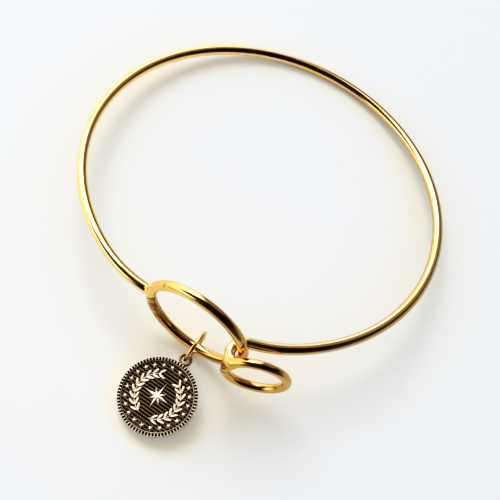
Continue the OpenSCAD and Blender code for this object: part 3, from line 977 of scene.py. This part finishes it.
class BANGLE_OT_set_rings(Operator):
    """Sets the two rings upright on the wire's ends, with solder round each joint"""

    bl_idname = "bangle.set_rings"
    bl_label = "Rings"
    bl_options = {"REGISTER", "UNDO"}

    def execute(self, context):
        s, p = lay_out()
        fresh("big_ring", "small_ring")
        g = s.rings
        gold = polished_gold(s.finishes, s.finishes.warm_gold, s.finishes.deep_gold, "ring gold")
        middle, _, _, thick = wire_line(s, p)
        pit = (g.pit_at, g.pit_side, g.pit)
        near_end = 85  # points of the wire's middle line that a ring's solder can reach
        for name, (at, turn, radius, wire), seam, end, soft, dent in (
                ("big_ring", p.big_ring, p.big_seam, slice(-near_end, None), g.big_fillet, pit),
                ("small_ring", p.small_ring, p.small_seam, slice(0, near_end), g.small_fillet, None)):
            joined = lambda m, u, r: soldered(turned(m, turn, 2) + at, turned(u, turn, 2), r,
                                              lambda q: from_line(q, middle[end], thick[end]), soft)
            points, quads, triangles, dirt = ring_surface(radius, wire, seam, g.seam_width, g.seam_depth,
                                                          joined, dent)
            values = {"seam": dirt}
            if name == "big_ring":
                # Tarnish starts sharply at the seam and thins out round the ring below it, in radians
                sharp, reach, thinning = 0.03, 1.15, 0.6
                below = (np.arctan2(points[:, 2], points[:, 0]) - seam) % (2 * np.pi)
                values["tarnish"] = smooth(below / sharp) * smooth((reach - below) / thinning)
            piece = put_mesh(name, turned(points, turn, 2) + at, quads, triangles, gold, values)
            finish_piece(piece, "polished_gold", "bangle")
        return {"FINISHED"}


class BANGLE_OT_hang_jump_ring(Operator):
    """Hangs the jump ring on the big ring"""

    bl_idname = "bangle.hang_jump_ring"
    bl_label = "Jump ring"
    bl_options = {"REGISTER", "UNDO"}

    def execute(self, context):
        s, p = lay_out()
        fresh("jump_ring_wire")
        j, c = s.jump_ring, s.finishes
        points, quads, triangles, groove = ring_surface(p.link_r, lambda a: p.link_wr + 0 * a, j.cut, j.cut_width,
                                                        j.cut_depth, around=28, count=140)
        points = turned(points, np.pi / 2, 2) + [0, -j.set_out, j.outside / 2]
        gold = antique_gold(c, c.link, c.link_roughness, "jump ring gold")
        piece = put_mesh("jump_ring_wire", at_drop(s, p, points), quads, triangles, gold,
                         {"relief": 0.9 - 0.8 * groove})
        finish_piece(piece, "antique_gold", "jump_ring")
        return {"FINISHED"}


class BANGLE_OT_strike_medal(Operator):
    """Makes the medal's field, its rim and its eye"""

    bl_idname = "bangle.strike_medal"
    bl_label = "Medal"
    bl_options = {"REGISTER", "UNDO"}

    def execute(self, context):
        s, p = lay_out()
        fresh("medal_field", "medal_rim", "medal_eye")
        z, c = medal_sizes(s, p), s.finishes
        gold = antique_gold(c, c.bright, c.medal_roughness, "medal gold")
        eye_gold = antique_gold(c, c.eye, c.eye_roughness, "medal eye gold")
        for name, (*mesh, relief), finish in (("medal_field", field_surface(s, p, z), gold),
                                              ("medal_rim", rim_surface(s, p, z), gold),
                                              ("medal_eye", eye_surface(s, p), eye_gold)):
            finish_piece(put_mesh(name, *mesh, finish, {"relief": relief}), "antique_gold", "medal")
        return {"FINISHED"}


class BANGLE_OT_set_stage(Operator):
    """Lays the pale sheet, and sets the camera and the lights"""

    bl_idname = "bangle.set_stage"
    bl_label = "Stage"
    bl_options = {"REGISTER", "UNDO"}

    def execute(self, context):
        fresh("sheet", "camera", "window", "window surround", "window shine", "surround shine", "glow")
        s, scene = settings(), context.scene
        t = s.stage
        half = t.sheet_size / 2 / 1000
        mesh = bpy.data.meshes.new("sheet")
        mesh.from_pydata([(x * half, y * half, 0) for x, y in ((-1, -1), (1, -1), (1, 1), (-1, 1))],
                         [], [(0, 1, 2, 3)])
        mesh.materials.append(pale_sheet(s.finishes))
        sheet = bpy.data.objects.new("sheet", mesh)
        scene.collection.objects.link(sheet)

        # The place and the directions were fitted to the outlines in the photograph
        camera = bpy.data.objects.new("camera", bpy.data.cameras.new("camera"))
        camera.data.lens, camera.data.sensor_width, camera.data.clip_start = t.lens, 36.0, 0.005
        right, up, back = (0.9063, 0.3747, 0.1955), (-0.4226, 0.8035, 0.4192), (0.0, -0.4625, 0.8866)
        placed(camera, (0.0021, -0.08629, 0.14667), np.array([right, up, back]).T)
        scene.camera = camera

        # The window and its pale surround, and what reflections show of them on top
        window, surround = (-0.799, 0.745, 1.302), (-0.835, 0.723, 1.3176)
        pane = {"shape": "RECTANGLE", "size": 0.9, "size_y": 0.75}
        border = {"shape": "RECTANGLE", "size": 1.52, "size_y": 1.3}
        for name, place, watts, tint, shape, on_all in (
                ("window", window, t.key, (0.98, 0.99, 1.0), pane, True),
                ("window shine", window, t.key * t.shine, (1.0, 0.98, 0.95), pane, False),
                ("window surround", surround, t.halo, (0.97, 0.985, 1.0), border, True),
                ("surround shine", surround, t.halo * t.soft_shine, (1.0, 0.95, 0.88), border, False)):
            add_lamp(name, place, facing_middle(place), watts, tint, **shape).visible_diffuse = on_all
        glow = add_lamp("glow", (-0.006, -0.036, 0.026), np.eye(3), t.glow, (1.0, 0.66, 0.15), shape="DISK",
                        size=0.02, use_shadow=False)
        glow.visible_glossy = False

        scene.world = pale_room(t)
        scene.view_settings.view_transform = "Standard"
        more_contrast(scene.view_settings, t.contrast)
        return {"FINISHED"}


class BANGLE_PT_sizes(Panel):
    """Lists the sizes and the pieces"""

    bl_idname = "BANGLE_PT_sizes"
    bl_label = "Charm bangle"
    bl_space_type = "VIEW_3D"
    bl_region_type = "UI"
    bl_category = "Bangle"

    def draw(self, context):
        for made in MAKERS:
            self.layout.operator(made.bl_idname)
        for key, group in GROUPS.items():
            box = self.layout.box()
            box.label(text=group.__doc__)
            for name in group.__annotations__:
                box.prop(getattr(context.scene, PREFIX + key), name)


MAKERS = (BANGLE_OT_bend_wire, BANGLE_OT_set_rings, BANGLE_OT_hang_jump_ring, BANGLE_OT_strike_medal,
          BANGLE_OT_set_stage)


def register():
    """Registers the classes and gives the scene its groups of sizes."""
    for made in (*GROUPS.values(), *MAKERS, BANGLE_PT_sizes):
        bpy.utils.register_class(made)
    for key, group in GROUPS.items():
        setattr(bpy.types.Scene, PREFIX + key, PointerProperty(type=group))


def unregister():
    """Takes back what register does, in the reverse order."""
    for key in GROUPS:
        delattr(bpy.types.Scene, PREFIX + key)
    for made in reversed((*GROUPS.values(), *MAKERS, BANGLE_PT_sizes)):
        bpy.utils.unregister_class(made)


def main():
    """Makes every piece and the stage through their operators."""
    register()
    for made in MAKERS:
        group, name = made.bl_idname.split(".")
        getattr(getattr(bpy.ops, group), name)()


if __name__ == "__main__":
    main()
